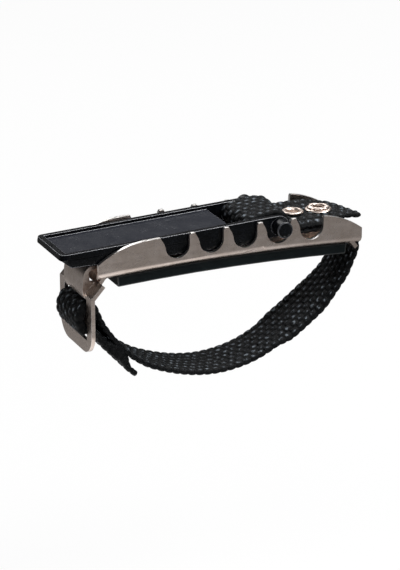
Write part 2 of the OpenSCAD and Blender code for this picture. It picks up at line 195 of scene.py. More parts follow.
class Nodes:
    """A node tree under construction."""

    def __init__(self, tree: bpy.types.NodeTree) -> None:
        """Takes the tree to fill."""
        self.tree = tree

    def link(self, out: Socket, into: Socket) -> None:
        """Joins two sockets."""
        self.tree.links.new(out, into)

    def put(self, made: bpy.types.Node, **settings: object) -> bpy.types.Node:
        """Feeds a node's sockets and sets its attributes.

        Args:
            made: The node.
            settings: A plain value or a socket to link, by the input's name with underscores for spaces;
                any other name is an attribute of the node.

        Returns:
            The same node.
        """
        for key, value in settings.items():
            name = key.replace("_", " ")
            if name not in made.inputs:
                setattr(made, key, value)
            elif isinstance(value, bpy.types.NodeSocket):
                self.link(value, made.inputs[name])
            else:
                made.inputs[name].default_value = value
        return made

    def node(self, kind: str, **settings: object) -> bpy.types.Node:
        """Adds a node of Blender's named type, with settings as for put."""
        return self.put(self.tree.nodes.new(kind), **settings)

    def maths(self, operation: str, first: Socket, second: Socket | float) -> Socket:
        """Gives the result of an operation on a socket and another socket or a number."""
        made = self.node("ShaderNodeMath", operation=operation)
        self.link(first, made.inputs[0])
        if isinstance(second, bpy.types.NodeSocket):
            self.link(second, made.inputs[1])
        else:
            made.inputs[1].default_value = second
        return made.outputs[0]

    def mask(self, name: str) -> Socket:
        """Gives the value of a layer of the mesh."""
        return self.node("ShaderNodeAttribute", attribute_name=name).outputs["Fac"]

    def mix(self, share: Socket, low: Socket, high: Colour) -> Socket:
        """Mixes a colour socket towards a plain colour, by a mask."""
        made = self.node("ShaderNodeMix", data_type="RGBA", Factor=share)
        self.link(low, made.inputs[6])
        made.inputs[7].default_value = high
        return made.outputs[2]

    def ramp(self, share: Socket, *stops: tuple[float, Colour]) -> Socket:
        """Colours a value between two stops, each a position and a colour."""
        made = self.node("ShaderNodeValToRGB", Fac=share)
        for index, (place, colour) in enumerate(stops):
            stop = made.color_ramp.elements[index]
            stop.position, stop.color = place, colour
        return made.outputs["Color"]

    def span(self, value: Socket, source: Point = (0.0, 1.0), target: Sequence[Socket | float] = (0.0, 1.0),
             kind: str = "LINEAR") -> Socket:
        """Maps a value from one range to another, and holds it at the ends."""
        made = self.node("ShaderNodeMapRange", interpolation_type=kind, Value=value, From_Min=source[0],
                         From_Max=source[1], To_Min=target[0], To_Max=target[1])
        return made.outputs["Result"]

    def bump(self, height: Socket, strength: float, depth: float) -> Socket:
        """Gives the surface direction where a height raises it, with a depth in millimetres."""
        made = self.node("ShaderNodeBump", Height=height, Strength=strength, Distance=depth * MM)
        return made.outputs["Normal"]

    def grain(self, group: bpy.types.NodeTree, vector: Socket, scale: float) -> Socket:
        """Gives the value of the shared grain group at a scale."""
        return self.node("ShaderNodeGroup", node_tree=group, Vector=vector, Scale=scale).outputs["Value"]


class Shader(Nodes):
    """A material under construction: its node tree and its Principled BSDF."""

    def __init__(self, name: str) -> None:
        """Makes the material with a Principled BSDF and an output."""
        self.material = bpy.data.materials.new(name)
        self.material.use_nodes = True
        super().__init__(self.material.node_tree)
        self.bsdf = self.tree.nodes["Principled BSDF"]


def grain_group() -> bpy.types.NodeTree:
    """Makes the fine uneven grain of metal, plastic and rubber: two sizes of noise multiplied.

    Returns:
        A shader node group with the inputs Vector and Scale and the output Value.
    """
    tree = bpy.data.node_groups.new("uneven_grain", "ShaderNodeTree")
    tree.interface.new_socket("Vector", in_out="INPUT", socket_type="NodeSocketVector")
    tree.interface.new_socket("Scale", in_out="INPUT", socket_type="NodeSocketFloat")
    tree.interface.new_socket("Value", in_out="OUTPUT", socket_type="NodeSocketFloat")
    n = Nodes(tree)
    entry = n.node("NodeGroupInput")
    vector, scale = entry.outputs["Vector"], entry.outputs["Scale"]
    coarse = n.node("ShaderNodeTexNoise", Vector=vector, Scale=scale, Detail=4.0)
    smaller = n.maths("MULTIPLY", scale, FINE_GRAIN)
    fine = n.node("ShaderNodeTexNoise", Vector=vector, Scale=smaller, Detail=2.0)
    n.node("NodeGroupOutput", Value=n.maths("MULTIPLY", coarse.outputs["Fac"], fine.outputs["Fac"]))
    return tree


@dataclass(frozen=True)
class NickelFinish:
    """Satin nickel plate on sheet steel, with a faint rolled grain, a few dull patches, and a painted
    highlight on its rounded and sheared edges.
    """

    base: Colour = (0.87, 0.755, 0.69, 1.0)
    shade: Colour = (0.70, 0.59, 0.52, 1.0)
    # painted highlight: the colour of the rounded and sheared edges, lighter than the plate
    edge: Colour = (0.97, 0.94, 0.91, 1.0)
    roughness: Point = (0.22, 0.46)
    edge_roughness: float = 0.30
    rolled: tuple[float, float, float] = (0.22, 1.0, 1.0)
    fine_scale: float = 1560.0
    broad_scale: float = 130.0
    bump: float = 0.3

    def build(self, grain: bpy.types.NodeTree) -> bpy.types.Material:
        """Builds the material from the shared grain group."""
        s = Shader("nickel_plate")
        coord = s.node("ShaderNodeTexCoord").outputs["Object"]
        stretch = s.node("ShaderNodeMapping", Vector=coord, Scale=self.rolled).outputs["Vector"]
        fine = s.grain(grain, stretch, self.fine_scale)
        tint = s.ramp(s.grain(grain, coord, self.broad_scale), (0.12, self.shade), (0.42, self.base))
        edge_highlight = s.mask("edge_highlight")
        rough = s.span(fine, GRAIN_RANGE, self.roughness)
        # the edge layer mixes in the painted highlight colour and a rougher finish
        s.put(s.bsdf, Base_Color=s.mix(edge_highlight, tint, self.edge), Metallic=1.0,
              Roughness=s.span(edge_highlight, target=(rough, self.edge_roughness)),
              Normal=s.bump(fine, self.bump, GRAIN_DEPTH))
        return s.material


@dataclass(frozen=True)
class MouldedFinish:
    """Black moulded plastic or rubber: its colour, gloss and skin, and a painted highlight on its rounded
    edges.
    """

    name: str
    base: Colour
    worn: Colour
    roughness: Point
    grain_scale: float
    bump: float
    specular: float = 0.16
    edge_specular: float = 1.0
    # painted highlight: the colour of the rounded edges, lighter than the body
    edge: Colour = (0.006, 0.010, 0.011, 1.0)
    panel: Colour = (0.026, 0.028, 0.036, 1.0)

    def build(self, grain: bpy.types.NodeTree) -> bpy.types.Material:
        """Builds the material from the shared grain group."""
        s = Shader(self.name)
        coord = s.node("ShaderNodeTexCoord").outputs["Object"]
        fine = s.grain(grain, coord, self.grain_scale * FINE_SHARE)
        broad = s.grain(grain, coord, self.grain_scale)
        edge_highlight = s.mask("edge_highlight")
        plain = s.mix(s.mask("panel"), s.ramp(broad, (0.15, self.base), (0.5, self.worn)), self.panel)
        # the edge layer mixes in the painted highlight colour and raises the specular level
        s.put(s.bsdf, Base_Color=s.mix(edge_highlight, plain, self.edge),
              Roughness=s.span(broad, GRAIN_RANGE, self.roughness),
              Specular_IOR_Level=s.span(edge_highlight, target=(self.specular, self.edge_specular)),
              Normal=s.bump(fine, self.bump, GRAIN_DEPTH))
        return s.material


@dataclass(frozen=True)
class WebbingFinish:
    """Black polyester webbing: near-black yarn, with pale broken glints painted as highlights on the crowns
    of the weave.
    """

    dark: Colour = (0.0012, 0.0016, 0.0020, 1.0)
    mid: Colour = (0.003, 0.0038, 0.0048, 1.0)
    # painted highlight: pale glint colour on the weave's crowns
    painted_glint: Colour = (0.27, 0.31, 0.355, 1.0)
    filaments: float = 4.2
    speck: float = 1.25
    crowns: Point = (0.8, 0.99)
    specks: Point = (0.48, 0.66)
    bump: float = 0.5
    yarn_depth: float = 0.08

    def build(self) -> bpy.types.Material:
        """Builds the material from the weave's UV map and its crown layer."""
        s = Shader("black_webbing")
        uv = s.node("ShaderNodeUVMap", uv_map="weave").outputs["UV"]
        speck = s.node("ShaderNodeTexNoise", Vector=uv, Scale=self.speck, Detail=1.0).outputs["Fac"]
        threads = s.node("ShaderNodeTexWave", bands_direction="Y", Vector=uv, Scale=self.filaments,
                         Distortion=2.2, Detail=2.0).outputs["Fac"]
        base = s.ramp(threads, (0.1, self.dark), (0.9, self.mid))
        # the painted glints: crowns of the weave broken up by noise
        painted_glint_share = s.maths("MULTIPLY", s.span(s.mask("crown"), self.crowns), s.span(speck, self.specks))
        s.put(s.bsdf, Base_Color=s.mix(painted_glint_share, base, self.painted_glint), Roughness=0.5, Specular_IOR_Level=0.15,
              Normal=s.bump(threads, self.bump, self.yarn_depth))
        return s.material


class Finishes:
    """The capo's materials, made once and handed to the pieces."""

    def __init__(self) -> None:
        """Builds every finish from one shared grain group."""
        grain = grain_group()
        self.by_finish: dict[Finish, bpy.types.Material] = {
            Finish.NICKEL: NickelFinish().build(grain),
            # the gloss edge colour is a painted highlight on the lever's and pin's rounded edges
            Finish.GLOSS: MouldedFinish("black_gloss", (0.002, 0.0024, 0.003, 1),
                                        (0.005, 0.006, 0.008, 1), (0.16, 0.28), 300.0, 0.08,
                                        edge=(0.20, 0.205, 0.225, 1)).build(grain),
            Finish.RUBBER: MouldedFinish("black_rubber", (0.003, 0.006, 0.007, 1),
                                         (0.007, 0.012, 0.013, 1), (0.38, 0.52), 400.0, 0.15).build(grain),
            Finish.WEBBING: WebbingFinish().build(),
        }

    def dress(self, obj: bpy.types.Object, finish: Finish, body: str, *nodes: str) -> bpy.types.Object:
        """Gives a piece its material in a slot and its body, and hides the CAD nodes that it stands for.

        Args:
            obj: The piece.
            finish: Its finish.
            body: The CAD body that it rides on, or "" for none.
            nodes: CAD nodes that it replaces.

        Returns:
            The same piece.
        """
        obj.data.materials.clear()
        obj.data.materials.append(self.by_finish[finish])
        if nodes:
            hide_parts(*nodes)
        if body:
            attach(obj, body)
        LOG.info("%s: %d faces, %s", obj.name, len(obj.data.polygons), finish.value)
        return obj


# --------------------------------------------------------------- sub-assemblies


@dataclass
class PressingBar:
    """The notched steel channel and its rubber pad."""

    width: float = 18.4
    sheet: float = 0.9
    sheet_round: float = 0.24
    pad_round: float = 0.35
    sheared: float = 0.2

    def build(self, finishes: Finishes) -> None:
        """Builds and dresses the channel, with a painted highlight on the walls' rounded and sheared edges,
        and the pad.
        """
        bm = cad_copy("channel", flat_deg=0.4)
        round_edges(bm, self.sheet_round, segments=3, sharp_deg=40.0)
        # the walls' sheared faces join the edge layer, so they take the painted highlight too
        edge_highlight = bm.faces.layers.float.get("edge_highlight")
        for face in bm.faces:
            place = face.calc_center_median() / MM
            if abs(face.normal.y) < self.sheared and abs(place.y) > self.width / 2 - self.sheet:
                face[edge_highlight] = 1.0
        finishes.dress(new_object("bar_channel", bm, level=True), Finish.NICKEL, "frame", "channel")
        bm = cad_copy("pad")
        round_edges(bm, self.pad_round, segments=4)
        finishes.dress(new_object("bar_pad", bm, level=True), Finish.RUBBER, "frame", "pad")


@dataclass
class ToggleLever:
    """The moulded lever and its cross pin."""

    pin: Triple = (11.84, 0.0, 8.0105)
    pin_r: float = 1.9
    pin_l: float = 22.6
    pin_round: float = 0.3
    pin_ring: tuple[Point, ...] = ((0.22, 0.0), (0.06, -0.07), (0.5, 0.0))
    pin_dome: float = 0.04
    pin_highlight_share: float = 0.25
    tilt: float = 2.4
    top: float = 2.4
    side_y: float = 7.4
    tip_x: float = -51.4
    fork_x: float = -4.0
    recess: float = 0.8
    parting: Point = (1.2, 2.4)
    parting_x: Point = (-50.0, -9.0)
    groove: float = 0.16
    draft: float = 0.2
    seam_slack: float = 0.02
    upright: float = 0.05
    panel_slack: float = 0.05
    panel_level: float = 0.9
    lever_round: float = 0.45

    def _place(self) -> Matrix:
        """Gives the turn and shift that lay the lever, drawn round its pin, in its closed place."""
        turn = Matrix.Rotation(math.radians(-self.tilt), 4, "Y")
        return Matrix.Translation(Vector(self.pin) * MM) @ turn

    def _outer(self, vert: bmesh.types.BMVert) -> bool:
        """Says whether a vertex is on the lever's outer sides, ahead of the fork."""
        x, y = vert.co.x / MM, abs(vert.co.y / MM)
        return x < self.fork_x and (y > self.side_y or x < self.tip_x)

    def _lever(self) -> bmesh.types.BMesh:
        """Shapes the lever: drafted sides that meet at a parting groove, rounded edges, a marked panel."""
        bm = cad_copy("lever", flat_deg=0.4)
        place = self._place()
        bmesh.ops.transform(bm, matrix=place.inverted(), verts=bm.verts)
        round_edges(bm, self.lever_round, segments=4)
        tip, fork = self.parting_x
        fall = (self.parting[1] - self.parting[0]) / (fork - tip)
        seam = self.top - self.parting[0]
        for shift in (self.groove, 0.0, -self.groove):
            near = [f for f in bm.faces if min(v.co.x for v in f.verts) < fork * MM]
            geom = near + list({e for f in near for e in f.edges}) + list({v for f in near for v in f.verts})
            bmesh.ops.bisect_plane(bm, geom=geom, dist=NEAR, plane_no=(fall, 0, 1),
                                   plane_co=Vector((tip, 0.0, seam + shift)) * MM)
        bm.normal_update()
        moves: dict[bmesh.types.BMVert, Vector] = {}
        for vert in bm.verts:
            inward = -Vector((vert.normal.x, vert.normal.y, 0.0))
            if not self._outer(vert) or inward.length < self.upright:
                continue
            height = abs(vert.co.z / MM - (seam - fall * (vert.co.x / MM - tip)))
            if height < self.seam_slack:
                moves[vert] = inward.normalized() * self.groove * MM
            elif height > self.groove + self.seam_slack:
                moves[vert] = inward.normalized() * self.draft * MM
        for vert, move in moves.items():
            vert.co += move
        panel = bm.faces.layers.float.new("panel")
        for face in bm.faces:
            spot = face.calc_center_median() / MM
            flat = face.normal.z > self.panel_level
            if flat and abs(spot.z - (self.top - self.recess)) < self.panel_slack:
                face[panel] = 1.0
        bmesh.ops.transform(bm, matrix=place, verts=bm.verts)
        return bm

    def _cross_pin(self) -> bmesh.types.BMesh:
        """Turns the cross pin, with rounded ends that have a shallow ring."""
        bm = bmesh.new()
        bmesh.ops.create_cone(bm, cap_ends=True, segments=64, radius1=self.pin_r * MM,
                              radius2=self.pin_r * MM, depth=self.pin_l * MM)
        round_edges(bm, self.pin_round, segments=4, sharp_deg=60.0)
        for cap in [f for f in bm.faces if len(f.verts) > 8]:
            outward = cap.normal.copy()
            for thickness, depth in self.pin_ring:
                bmesh.ops.inset_region(bm, faces=[cap], thickness=thickness * MM, depth=depth * MM)
            for vert in cap.verts:
                vert.co += outward * self.pin_dome * MM
        # the pin's edges keep only a share of the painted highlight
        edge_highlight = bm.faces.layers.float.get("edge_highlight")
        for face in bm.faces:
            face[edge_highlight] *= self.pin_highlight_share
        turn = Matrix.Translation(Vector(self.pin) * MM) @ Matrix.Rotation(math.pi / 2, 4, "X")
        bmesh.ops.transform(bm, matrix=turn, verts=bm.verts)
        return bm

    def build(self, finishes: Finishes) -> None:
        """Builds and dresses the lever and the pin."""
        lever = new_object("toggle_lever", self._lever(), level=True)
        finishes.dress(lever, Finish.GLOSS, "lever", "lever")
        pin = new_object("toggle_cross_pin", self._cross_pin(), level=True)
        finishes.dress(pin, Finish.GLOSS, "toggle", "toggle_pin")


@dataclass
class StrapBuckle:
    """The bent plate buckle with its hook."""

    sheet_round: float = 0.26
    root: Triple = (-33.55, 0.0, -2.375)
    lean_deg: float = 48.0
    wing_from: float = 2.2
    wing_x: float = -32.5
    wing_top: float = 0.4
    neck_half: float = 4.6
    wing_extra: float = 1.1

    def build(self, finishes: Finishes) -> None:
        """Builds and dresses the buckle, with its shoulders drawn out towards the bar."""
        bm = cad_copy("buckle", flat_deg=0.4)
        lean = Vector((math.cos(math.radians(self.lean_deg)), 0.0, math.sin(math.radians(self.lean_deg))))
        for vert in bm.verts:
            spot = vert.co / MM
            wing = abs(spot.y) > self.neck_half and spot.x > self.wing_x and spot.z < self.wing_top
            if wing and (spot - Vector(self.root)).dot(lean) > self.wing_from:
                vert.co += lean * self.wing_extra * MM
        round_edges(bm, self.sheet_round, segments=3, sharp_deg=40.0)
        finishes.dress(new_object("buckle_plate", bm, level=True), Finish.NICKEL, "buckle", "buckle")


@dataclass
class Eyelets:
    """The two eyelets and their washers, spun round their own axes."""

    lever_x: float = 19.0
    free_x: float = 25.44
    meet_z: float = 6.7
    grip: float = 1.13
    bore: float = 1.35
    barrel: float = 1.7
    flange: float = 2.5
    roll_r: float = 0.3
    washer: float = 3.0
    washer_t: float = 0.3
    petals: int = 5

    def _flange(self) -> list[Point]:
        """Gives the section of an eyelet with a domed rolled flange, standing on the flange's underside."""
        roll = [polar((self.flange - self.roll_r, self.roll_r), self.roll_r, a) for a in range(-90, 91, 20)]
        lip = [(self.flange - 0.7, 0.66), (self.barrel + 0.05, 0.62), (self.bore + 0.12, 0.45),
               (self.bore, 0.2)]
        foot = -2 * self.grip - self.washer_t
        return roll + lip + [(self.bore, foot), (self.barrel, foot), (self.barrel, 0.0)]

    def _clinch(self) -> list[Point]:
        """Gives the section of a barrel's turned-over end, standing on its washer."""
        return [(self.barrel, -0.2), (self.barrel + 0.12, 0.02), (self.barrel + 0.5, 0.02),
                (self.barrel + 0.72, 0.14), (self.barrel + 0.74, 0.3), (self.barrel + 0.5, 0.5),
                (self.barrel + 0.1, 0.62), (self.bore + 0.15, 0.58), (self.bore, 0.4), (self.bore, -0.2)]

    def _crimp(self, bm: bmesh.types.BMesh, x: float) -> None:
        """Splits a turned-over end into uneven petals.

        Args:
            bm: The spun end, in metres.
            x: Place of its axis along the bar, in millimetres.
        """
        for vert in bm.verts:
            dx, dy = vert.co.x / MM - x, vert.co.y / MM
            reach = math.hypot(dx, dy) - self.bore
            if reach < 0.2:
                continue
            angle = math.atan2(dy, dx)
            split = math.exp(-((math.sin(self.petals * angle / 2 + 0.3)) / 0.22) ** 2)
            swell = 1.0 + 0.12 * math.cos(2 * angle + 0.8) - 0.42 * split
            scale = (self.bore + reach * swell) / (self.bore + reach)
            vert.co.x, vert.co.y = (x + dx * scale) * MM, dy * scale * MM
            vert.co.z += (0.1 * math.cos(3 * angle) - 0.12 * split) * reach * MM

    def build(self, finishes: Finishes) -> None:
        """Builds and dresses both eyelets and washers."""
        top, low = self.meet_z + self.grip, self.meet_z - self.grip
        disc = [(self.barrel + 0.02, 0.0), (self.washer, 0.0), (self.washer + 0.04, 0.12),
                (self.washer - 0.12, self.washer_t), (self.barrel + 0.3, self.washer_t + 0.05),
                (self.barrel + 0.02, self.washer_t)]
        ends = (("lever_end", self.lever_x, top, low, -1), ("free_end", self.free_x, low, top, 1))
        for end, x, side, face, up in ends:
            bm = spun("eyelet_" + end, self._flange(), (x, 0.0, side), flip=up > 0)
            piece = new_object("strap_eyelet_" + end, bm, smooth_deg=50.0)
            finishes.dress(piece, Finish.NICKEL, "frame", "eyelet_" + end)
            bm = spun("washer_" + end, disc, (x, 0.0, face), flip=up < 0)
            piece = new_object("strap_washer_" + end, bm, smooth_deg=50.0)
            finishes.dress(piece, Finish.NICKEL, "frame", "washer_" + end)
            bm = spun("clinch_" + end, self._clinch(), (x, 0.0, 0.0), steps=90)
            self._crimp(bm, x)
            bmesh.ops.scale(bm, vec=(1, 1, up), verts=bm.verts)
            bmesh.ops.translate(bm, vec=(0, 0, (face + up * self.washer_t) * MM), verts=bm.verts)
            bmesh.ops.recalc_face_normals(bm, faces=bm.faces)
            piece = new_object("strap_clinch_" + end, bm, smooth_deg=60.0)
            finishes.dress(piece, Finish.NICKEL, "frame", "eyelet_" + end)


def spline_point(a: Point, b: Point, c: Point, d: Point, u: float) -> Point:
    """Gives the point at u between b and c on a smooth curve through a, b, c and d."""
    return tuple(0.5 * (2 * b[k] + (c[k] - a[k]) * u + (2 * a[k] - 5 * b[k] + 4 * c[k] - d[k]) * u * u
                        + (3 * b[k] - a[k] - 3 * c[k] + d[k]) * u ** 3) for k in (0, 1))


def smooth_path(points: Sequence[Point], steps: int) -> list[Point]:
    """Gives a smooth curve through the points, with some steps between each two."""
    last = len(points) - 1
    curve = [spline_point(points[max(i - 1, 0)], points[i], points[i + 1], points[min(i + 2, last)],
                          k / steps)
             for i in range(last) for k in range(steps)]
    return curve + [points[last]]


def polar(centre: Point, r: float, deg: float) -> Point:
    """Gives the point at a radius and angle from a centre."""
    return (centre[0] + r * math.cos(math.radians(deg)), centre[1] + r * math.sin(math.radians(deg)))


def between(a: Point, b: Point, share: float, lift: float = 0.0) -> Point:
    """Gives the point a share of the way from a to b, lifted."""
    return (a[0] + (b[0] - a[0]) * share, a[1] + (b[1] - a[1]) * share + lift)


def progress(value: float, start: float, length: float, most: float = 1.0) -> float:
    """Gives how far a value has gone from a start, as a share of a length, from 0 up to the most."""
    return min(max((value - start) / length, 0.0), most)


@dataclass
class StrapRoute:
    """The middle line of the one webbing strap, from its free end to its tail, as the CAD model lays it."""

    thick: float = 1.1
    pad: float = 2.6
    fret_r: float = 500.0
    bar_l: float = 64.0
    sheet: float = 0.9
    pin_r: float = 1.9
    pin_s: float = 11.84
    pin_h: float = 5.55
    bar_r: float = 1.2
    bar_back: float = 5.6
    bar_up: float = 0.2
    tilt: float = 2.4
    stack_h: float = 4.1
    layer_gap: float = 0.06
    eyelet_past: float = 7.16
    eyelet_gap: float = 6.44
    flange_r: float = 2.5
    lip_x: float = 29.6
    lip_out: float = 1.8
    plate_t: float = 0.9
    hook_reach: float = 2.6
    hook_drop: float = 5.35
    slot_h: float = 3.7
    slot_bar: float = 2.2
    loop_deep: float = 25.1
    free_l: float = 5.2
    free_droop: float = 0.9
    rise_sag: float = 1.8
    tail_l: float = 15.3
    gap: float = 0.1
    run_gap: float = 0.05
    sweep: tuple[Point, ...] = (
        (0.505, -0.076), (0.489, -0.159), (0.464, -0.287), (0.419, -0.418), (0.369, -0.538),
        (0.291, -0.689), (0.211, -0.817), (0.133, -0.916), (0.055, -0.976), (-0.023, -1.0),
        (-0.102, -0.99), (-0.168, -0.957), (-0.236, -0.903), (-0.297, -0.838), (-0.345, -0.757))
    tail_shape: tuple[Point, ...] = (
        (0.056, -0.046), (0.111, -0.125), (0.167, -0.21), (0.229, -0.288), (0.304, -0.367),
        (0.389, -0.439), (0.474, -0.517), (0.539, -0.589), (0.611, -0.654), (0.69, -0.72))
    free_shape: tuple[Point, ...] = ((1.0, 1.0), (0.77, 0.64), (0.54, 0.3), (0.3, 0.07), (0.0, 0.0))

    def stretches(self) -> dict[str, list[Point]]:
        """Gives the points of each stretch of the strap, in order and end to end."""
        drop = self.fret_r + self.pad - math.sqrt((self.fret_r + self.pad) ** 2 - self.pin_s ** 2)
        pin = (self.pin_s, self.pad + self.pin_h - drop)
        lean = math.radians(self.tilt)
        bar = (pin[0] + self.bar_up * math.sin(lean) - self.bar_back * math.cos(lean),
               pin[1] + self.bar_up * math.cos(lean) - self.bar_back * math.sin(lean))
        eye = pin[0] + self.eyelet_past
        x0 = eye - self.flange_r - self.run_gap
        x1 = eye + self.eyelet_gap + self.flange_r + self.run_gap
        t = self.thick
        upper = self.pad + self.stack_h + (t + self.layer_gap) / 2
        lower = self.pad + self.stack_h - (t + self.layer_gap) / 2
        wrap_r = self.bar_r + self.gap + t / 2
        pin_wrap = self.pin_r + self.gap + t / 2
        pin_top, bar_top = polar(pin, pin_wrap + self.run_gap, 92), polar(bar, wrap_r, 80)
        pin_low, bar_low = (pin[0], pin[1] - pin_wrap - self.run_gap), polar(bar, wrap_r, 280)
        hook = (-self.lip_x - 1.5 * self.sheet, self.pad - self.plate_t / 4)
        plate_x, slot_top = hook[0] - self.hook_reach, hook[1] - self.hook_drop
        bar_mid = slot_top - self.slot_h - self.slot_bar / 2
        slot_in, slot_out = slot_top - self.slot_h / 2, slot_top - 1.5 * self.slot_h - self.slot_bar
        off = t / 2 + self.plate_t / 2 + self.gap
        leave = (self.lip_x + self.lip_out + t, -self.run_gap)
        sweep = [(x * self.bar_l, z * self.loop_deep) for x, z in self.sweep]
        left = sweep[-1]
        b_in, b_out = (plate_x + off, slot_in), (plate_x + off, slot_out - self.slot_h / 8)
        sag = self.rise_sag
        return {
            "free": smooth_path([(x1 + self.free_l * a, upper - self.free_droop * b)
                                 for a, b in self.free_shape], 6),
            "head_upper": smooth_path([(x1, upper), (x0, upper)], 12),
            "loop_upper": smooth_path([(x0, upper), (pin[0] + 3.2, pin[1] + 0.85),
                                       polar(pin, pin_wrap + 0.2, 50), pin_top], 8),
            "loop_bar": smooth_path([pin_top, between(pin_top, bar_top, 0.34, 0.1),
                                     between(pin_top, bar_top, 0.67, 0.15), bar_top], 8)
            + [polar(bar, wrap_r, 95 + 170 * k / 24) for k in range(25)]
            + smooth_path([bar_low, between(bar_low, pin_low, 0.33), between(bar_low, pin_low, 0.67),
                           pin_low], 8),
            "loop_lower": smooth_path([pin_low, (pin_low[0] + 2.3, pin_low[1] + 0.25), (x0, lower)], 8),
            "head_lower": smooth_path([(x0, lower), (x1, lower)], 12),
            "lip": smooth_path([(x1, lower), (self.lip_x - 0.2, lower - t * 0.55),
                                (self.lip_x + self.lip_out * 0.75, lower - t * 1.9),
                                (self.lip_x + self.lip_out + t * 0.8, lower - t * 3.6), leave], 8),
            "run": smooth_path([leave, *sweep], 6),
            "rise": smooth_path([left, between(left, b_in, 0.25, -0.7 * sag),
                                 between(left, b_in, 0.5, -sag), between(left, b_in, 0.75, -0.8 * sag),
                                 (b_in[0] + 0.95 * t, b_in[1] - 1.25 * t),
                                 (b_in[0] + 0.45 * t, b_in[1] - 0.36 * t), b_in], 6),
            "wrap": smooth_path([b_in, (plate_x, slot_in + t * 0.15), (plate_x - off, slot_in - t * 0.25),
                                 (plate_x - off * 1.85, bar_mid + self.slot_bar * 0.5),
                                 (plate_x - off * 1.95, bar_mid - self.slot_bar * 0.45),
                                 (plate_x - off * 1.1, slot_out - t * 0.1),
                                 (plate_x, slot_out - t * 0.1), b_out], 8),
            "tail": smooth_path([b_out, *[(b_out[0] + self.tail_l * a, b_out[1] + self.tail_l * b)
                                          for a, b in self.tail_shape]], 6),
        }


@dataclass(frozen=True)
class Weave:
    """The raised pattern of a coarse webbing: lengthwise ribs that dive under cross picks."""

    ribs: int = 7
    pick: float = 1.95
    relief: float = 0.42
    middle: float = 0.72
    edge_relief: float = 0.26

    def crown(self, along: float, across: float, width: float) -> float:
        """Gives 0 in a groove and 1 on a rib's crown, for a place on the strap in millimetres."""
        place = (across + width / 2) / width * self.ribs
        rib = min(max(int(place), 0), self.ribs - 1)
        side = 2 * (place - rib) - 1
        turn = 2 * ((along / self.pick + 0.5 * (rib % 2)) % 1.0) - 1
        return math.sqrt(max(0.0, (1 - abs(side) ** 2.2) * (1 - abs(turn) ** 2.4)))

    def waver(self, along: float, outward: float) -> float:
        """Gives the sideways shift of the strap's scalloped and slightly wavy edges, in millimetres."""
        scallop = abs(math.sin(math.pi * along / self.pick)) - 0.5
        return self.edge_relief * scallop * outward + 0.04 * math.sin(along * 0.61)


